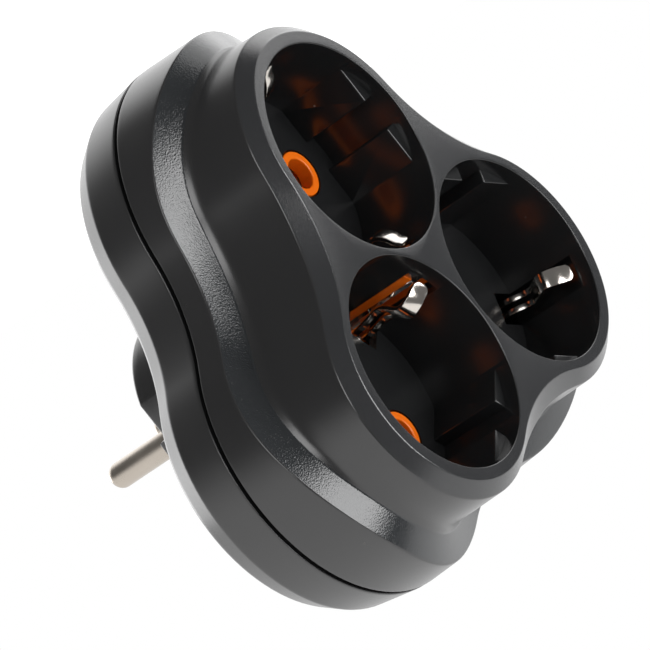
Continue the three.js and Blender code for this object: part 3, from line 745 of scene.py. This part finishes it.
# The tongue stands inside the front shell's wall, on a wider root inside the back shell's
def backTongue():
    b = backShell
    foot, top = b["frontLevel"] - b["tongueFoot"], frontShell["partingLevel"] + b["tongueHeight"]
    inset = b["wall"] + clearance
    ring = tongueLoft("tongue", inset, foot, top)
    root = tongueLoft("root", inset - 2 * clearance, foot, b["frontLevel"] - b["rootTop"])
    inside = tongueLoft("inside", inset + b["tongueWall"], foot - past, top + past)
    combine(ring, [root], "UNION")
    return combine(ring, [inside])


def plugOutline(shrink):
    # round with flats left and right, and a narrow rib standing on each flat
    p, ribSteps, arcSteps = plug, plug["ribSteps"], plug["arcSteps"]
    radius, flat = p["radius"] - shrink, p["flat"] - shrink
    half = p["rib"] / 2 - shrink
    reach = p["ribReach"] - shrink
    corner = math.acos(flat / radius)
    ribAngle = math.asin(half / reach)
    outline = []
    for side in (0, math.pi):
        part = []
        for s in range(ribSteps + 1):
            angle = -ribAngle + 2 * ribAngle * s / ribSteps
            part.append((reach * math.cos(angle), reach * math.sin(angle)))
        part.append((flat, half))
        for s in range(arcSteps + 1):
            angle = corner + (math.pi - 2 * corner) * s / arcSteps
            part.append((radius * math.cos(angle), radius * math.sin(angle)))
        part.append((-flat, half))
        turn = (math.cos(side), math.sin(side))
        outline += [(x * turn[0] - y * turn[1], x * turn[1] + y * turn[0]) for x, y in part]
    return outline


def plugBody():
    bevel, steps = plug["bevel"], plug["bevelSteps"]
    levels = [(noseLevel, bevel)]
    for s in range(1, steps + 1):
        angle = s / steps * math.pi / 2
        levels.append((noseLevel + bevel * (1 - math.cos(angle)), bevel * (1 - math.sin(angle))))
    levels += [(noseLevel + plug["noseBand"], 0.0), (backShell["backLevel"] + backShell["backWall"], 0.0)]
    rings = [[Vector((x, y, z)) for x, y in plugOutline(shrink)] for z, shrink in levels]
    count = len(rings[0])
    points = [point for ring in rings for point in ring]
    faces = [list(range(count))[::-1]]
    for r in range(len(rings) - 1):
        faces += [[r * count + i, r * count + (i + 1) % count, (r + 1) * count + (i + 1) % count,
                   (r + 1) * count + i] for i in range(count)]
    faces.append([len(points) - count + i for i in range(count)])
    return addObject("plugBody", meshFrom("plugBody", points, faces, sidePlastic))


def addBackShell():
    b, p = backShell, plug
    inside = b["backLevel"] + b["backWall"]
    shell = combine(backSkin(), [backCavity()])
    joined = [backTongue(), plugBody()]
    joined += [screwBoss(inside - bite, frontShell["partingLevel"] - clearance, degrees)
               for degrees in bosses["angles"]]
    combine(shell, joined, "UNION")
    tools = [rod("hollow", p["flat"] - p["wall"], noseLevel + p["noseWall"], inside + past, shadedHollowPlastic)]
    for side in (-1, 1):
        tools.append(rod("pinHole", p["pinHole"], noseLevel - past, noseLevel + p["noseWall"] + past,
                         shadedHollowPlastic, place=(side * wells["pinPitch"] / 2, 0)))
        ys = sorted((side * p["grooveDepth"], side * (p["radius"] + past)))
        half = p["grooveWidth"] / 2
        tools.append(box("groove", (-half, ys[0], noseLevel - past), (half, ys[1], b["backLevel"]),
                         sidePlastic))
        deep = p["grooveDepth"] + p["stripThickness"] + 2 * clearance
        ys = sorted((side * p["grooveDepth"], side * deep))
        half = p["stripWindow"]
        tools.append(box("window", (-half, ys[0], b["backLevel"] - past), (half, ys[1], inside + past),
                         shadedHollowPlastic))
    low, high = b["backLevel"] - past, frontShell["partingLevel"] + past
    step = b["backLevel"] + b["headDepth"]
    for degrees in bosses["angles"]:
        sink = turned("sink", [(0, low), (b["headSink"], low), (b["headSink"], step), (b["shankHole"], step),
                               (b["shankHole"], high), (0, high)],
                      shadedHollowPlastic, place=(bosses["offset"], 0), sides=40)
        tools.append(atBoss(sink, degrees))
    combine(shell, tools)
    toFrame(shell)
    finishSurface(shell)
    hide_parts("back_cover")
    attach(shell, "root")


addBackShell()
print("back shell made")


# Orange contact carriers

carrier = {
    "plateRadius": 14.2, "plateTop": -19.6, "plateThickness": 1.8,
    "sleeveRadius": 4.3, "sleeveBore": 2.85, "edgeRound": 0.22, "boreRound": 0.3, "roundSteps": 4,
    "turretRadius": 4.9, "turretHeight": 6.4, "turretStep": 0.4, "contactRoom": 3.8, "roomDrop": 0.7,
    "postOffset": 19.6, "postDepth": 1.3, "postTop": -4.8, "postEdges": (-2.8, -1.1), "postRound": 0.15,
    "armEdges": (-3.6, -1.9), "armRoot": 2.0,
}


def closedRing(name, profile, place, sides=72):
    # a turned ring: the profile closes on itself without touching the axis
    points = []
    for radius, z in profile:
        for i in range(sides):
            angle = 2 * math.pi * i / sides
            points.append((place[0] + radius * math.cos(angle), place[1] + radius * math.sin(angle), z))
    faces = []
    for r in range(len(profile)):
        n = (r + 1) % len(profile)
        for i in range(sides):
            j = (i + 1) % sides
            faces.append([r * sides + i, r * sides + j, n * sides + j, n * sides + i])
    return addObject(name, meshFrom(name, points, faces, orangeInsert))


def sleeve(side):
    # outside from the plate up to the well's floor, down through the bore, and round the contact's turret
    c, steps = carrier, carrier["roundSteps"]
    top, seat = -wells["depth"], c["plateTop"] - bite
    outer, inner = c["sleeveRadius"], c["sleeveBore"]
    edge, lip = c["edgeRound"], c["boreRound"]
    roomTop, turretFoot = c["plateTop"] - c["roomDrop"], c["plateTop"] - c["turretHeight"]
    profile = [(outer, seat)]
    for s in range(steps + 1):
        angle = s / steps * math.pi / 2
        profile.append((outer - edge + edge * math.cos(angle), top - edge + edge * math.sin(angle)))
    for s in range(steps + 1):
        angle = math.pi / 2 + s / steps * math.pi / 2
        profile.append((inner + lip + lip * math.cos(angle), top - lip + lip * math.sin(angle)))
    profile += [(inner, roomTop), (c["contactRoom"], roomTop), (c["contactRoom"], turretFoot),
                (c["turretRadius"], turretFoot), (c["turretRadius"], seat)]
    return closedRing("sleeve", profile, (0, side * wells["pinPitch"] / 2))


def carrierBody():
    c = carrier
    top, foot = c["plateTop"], c["plateTop"] - c["plateThickness"]
    plate = rod("plate", c["plateRadius"], foot, top, orangeInsert)
    far = c["postOffset"] + c["postDepth"]
    arm, post = c["armEdges"], c["postEdges"]
    # an arm reaches past the inner clip and carries one post behind it
    root = c["plateRadius"] - c["armRoot"]
    combine(plate, [box("arm", (-far, arm[0], foot), (-root, arm[1], top), orangeInsert),
                    box("post", (-far, post[0], foot), (-c["postOffset"], post[1], c["postTop"]),
                        orangeInsert, c["postRound"])], "UNION")
    combine(plate, [rod("room", c["turretRadius"] - c["turretStep"], foot - past, top + past, orangeInsert,
                        place=(0, side * wells["pinPitch"] / 2)) for side in (-1, 1)])
    return combine(plate, [sleeve(-1), sleeve(1)], "UNION")


def addCarriers():
    first = carrierBody()
    for name, degrees in socketAngles.items():
        piece = addObject("contactCarrier" + name.capitalize(), first.data.copy())
        inSocket(piece, degrees)
        toFrame(piece)
        finishSurface(piece)
        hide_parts("contact_carrier_" + name)
        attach(piece, "root")
    bpy.data.objects.remove(first)


addCarriers()
print("contact carriers made")


# Earth clips in the wells

clip = {
    "thickness": 0.8, "width": 3.2, "stem": 16.4, "bump": 15.0, "tip": 18.7, "tipTop": -3.4, "base": -21.7,
    "slit": 1.0, "slitFoot": 1.2, "forkDrop": 7.4, "edgeRound": 0.2, "cornerRound": 1.2, "smoothSteps": 6,
}


def smoothLine(points, steps):
    # a curve through the given points
    line = []
    for i in range(len(points) - 1):
        before = points[max(i - 1, 0)]
        a, b = points[i], points[i + 1]
        after = points[min(i + 2, len(points) - 1)]
        for s in range(steps):
            t = s / steps
            line.append(0.5 * (2 * a + (b - before) * t + (2 * before - 5 * a + 4 * b - after) * t ** 2
                               + (3 * a - before - 3 * b + after) * t ** 3))
    line.append(points[-1])
    return line


# Half of the clip's middle line: from the tip over the bump, back behind it, and down to the base
def clipLine():
    c = clip
    stem, bump, top, base, floor = c["stem"], c["bump"], c["tipTop"], c["base"], -wells["depth"]
    bends = [(c["tip"], top), (c["tip"] - 1.3, top - 1.1), (bump + 1, top - 2.1), (bump, top - 3.6),
             (bump + 0.3, top - 5), (stem + 0.2, top - 6.8), (stem + 1.5, top - 8.8),
             (stem + 1.4, top - 10.6), (stem + 0.4, top - 12.6), (stem, floor - 0.6), (stem, base + 0.6),
             (stem - 0.3, base - 0.2), (stem - 1.1, base - c["thickness"] / 2)]
    return smoothLine([Vector(p) for p in bends], c["smoothSteps"])


def tipHalfWidth(distance):
    # the strip's corners are round at its ends
    left = max(clip["cornerRound"] - distance, 0)
    return clip["width"] / 2 - clip["cornerRound"] + math.sqrt(clip["cornerRound"] ** 2 - left ** 2)


def clipMesh():
    c = clip
    half = clipLine()
    line = half + [Vector((-p.x, p.y)) for p in reversed(half)]
    upper, lower = [], []
    for i, point in enumerate(line):
        along = (line[min(i + 1, len(line) - 1)] - line[max(i - 1, 0)]).normalized()
        side = Vector((-along.y, along.x)) * c["thickness"] / 2
        upper.append(point + side)
        lower.append(point - side)
    count = len(line)
    points = []
    for side in (-1, 1):
        widths = [side * tipHalfWidth((point - line[0 if point.x > 0 else -1]).length) for point in line]
        for edge in (upper, lower):
            points += [(p.x, y, p.y) for p, y in zip(edge, widths)]
    faces = []
    for i in range(count - 1):
        top, low, far = i, count + i, 2 * count
        faces += [[top, top + 1, far + top + 1, far + top], [low + 1, low, far + low, far + low + 1],
                  [top + 1, top, low, low + 1], [far + top, far + top + 1, far + low + 1, far + low]]
    faces += [[0, 2 * count, 3 * count, count], [2 * count - 1, 4 * count - 1, 3 * count - 1, count - 1]]
    strip = addObject("strip", meshFrom("strip", points, faces, nickelPlate))
    grid = bmesh.new()
    grid.from_mesh(strip.data)
    bmesh.ops.recalc_face_normals(grid, faces=grid.faces)
    grid.to_mesh(strip.data)
    grid.free()
    slits = []
    for side in (-1, 1):
        xs = sorted((side * (c["stem"] - 3 * past), side * (c["tip"] + past)))
        slits.append(box("slit", (xs[0], -c["slit"] / 2, -wells["depth"] - c["slitFoot"]),
                         (xs[1], c["slit"] / 2, c["tipTop"] - c["forkDrop"]), nickelPlate))
    combine(strip, slits)
    return bevelEdges(strip, c["edgeRound"], 3, 50)


def addClips():
    first = clipMesh()
    for name, degrees in socketAngles.items():
        piece = addObject("earthClip" + name.capitalize(), first.data.copy())
        inSocket(piece, degrees)
        toFrame(piece)
        finishSurface(piece, 50)
        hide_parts("earth_clip_" + name)
        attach(piece, "root")
    bpy.data.objects.remove(first)


addClips()
print("earth clips made")


# Plug pins and cover screws

pin = {"radius": 2.4, "tip": -75.5, "dome": 2.1, "domeSteps": 8,
       "flangeFoot": -54.0, "flangeRadius": 3.9, "flangeThickness": 1.6, "edge": 0.2,
       "tops": {"live": -31.6, "neutral": -34.2}}


def addPins():
    p, steps, edge = pin, pin["domeSteps"], pin["edge"]
    foot, top = p["flangeFoot"], p["flangeFoot"] + p["flangeThickness"]
    for side, name in ((-1, "live"), (1, "neutral")):
        profile = []
        for s in range(steps + 1):
            angle = s / steps * math.pi / 2
            profile.append((p["radius"] * math.sin(angle), p["tip"] + p["dome"] * (1 - math.cos(angle))))
        profile += [(p["radius"], foot - edge), (p["radius"], foot), (p["flangeRadius"] - edge, foot),
                    (p["flangeRadius"], foot + edge), (p["flangeRadius"], top - edge),
                    (p["flangeRadius"] - edge, top), (p["radius"], top),
                    (p["radius"], p["tops"][name]), (0, p["tops"][name])]
        piece = turned("plugPin" + name.capitalize(), profile, satinNickel,
                       place=(side * wells["pinPitch"] / 2, 0), sides=64)
        toFrame(piece)
        finishSurface(piece)
        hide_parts("plug_pin_" + name)
        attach(piece, "root")


screw = {"headRadius": 2.9, "headFoot": -38.3, "headTop": -36.6, "headEdge": 0.35,
         "shank": 1.5, "end": -14.4, "threadPitch": 0.9, "threadDepth": 0.22,
         "crossLength": 3.2, "crossWidth": 0.7, "crossDepth": 1.0}


def addScrews():
    s, edge = screw, screw["headEdge"]
    core = s["shank"] - s["threadDepth"]
    for i, degrees in enumerate(bosses["angles"], 1):
        profile = [(0, s["headFoot"]), (s["headRadius"] - edge * 2, s["headFoot"]),
                   (s["headRadius"] - edge * 0.6, s["headFoot"] + edge * 0.4),
                   (s["headRadius"], s["headFoot"] + edge * 1.4), (s["headRadius"], s["headTop"]),
                   (core, s["headTop"])]
        level = s["headTop"] + s["threadPitch"]
        while level < s["end"] - 2 * s["threadPitch"]:
            profile += [(core, level), (s["shank"], level + s["threadPitch"] / 2)]
            level += s["threadPitch"]
        profile += [(core, level), (0, s["end"])]
        piece = turned("coverScrew%d" % i, profile, zincSteel, sides=40)
        half, wide = s["crossLength"] / 2, s["crossWidth"] / 2
        low, high = s["headFoot"] - past, s["headFoot"] + s["crossDepth"]
        combine(piece, [box("cross", (-half, -wide, low), (half, wide, high), zincSteel),
                        box("cross", (-wide, -half, low), (wide, half, high), zincSteel)])
        turn = Matrix.Rotation(math.radians(degrees), 4, "Z")
        piece.data.transform(turn @ Matrix.Translation((bosses["offset"], 0, 0)))
        toFrame(piece)
        finishSurface(piece)
        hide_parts("cover_screw_%d" % i)
        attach(piece, "root")


addPins()
addScrews()
print("pins and screws made")


# The inner pieces keep their own solids and get their finish

innerFinish = {
    "live_contact": rolledBrass, "neutral_contact": rolledBrass, "live_bar": rolledBrass,
    "neutral_bar": rolledBrass, "bar_insulator": insulatingBoard, "earth_plate": nickelPlate,
    "plug_earth_strip": nickelPlate,
}


def dressInnerPieces():
    for name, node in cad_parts.items():
        for start, material in innerFinish.items():
            if name.startswith(start):
                for slotOfNode in node.material_slots:
                    slotOfNode.material = material


dressInnerPieces()
print("inner pieces dressed")
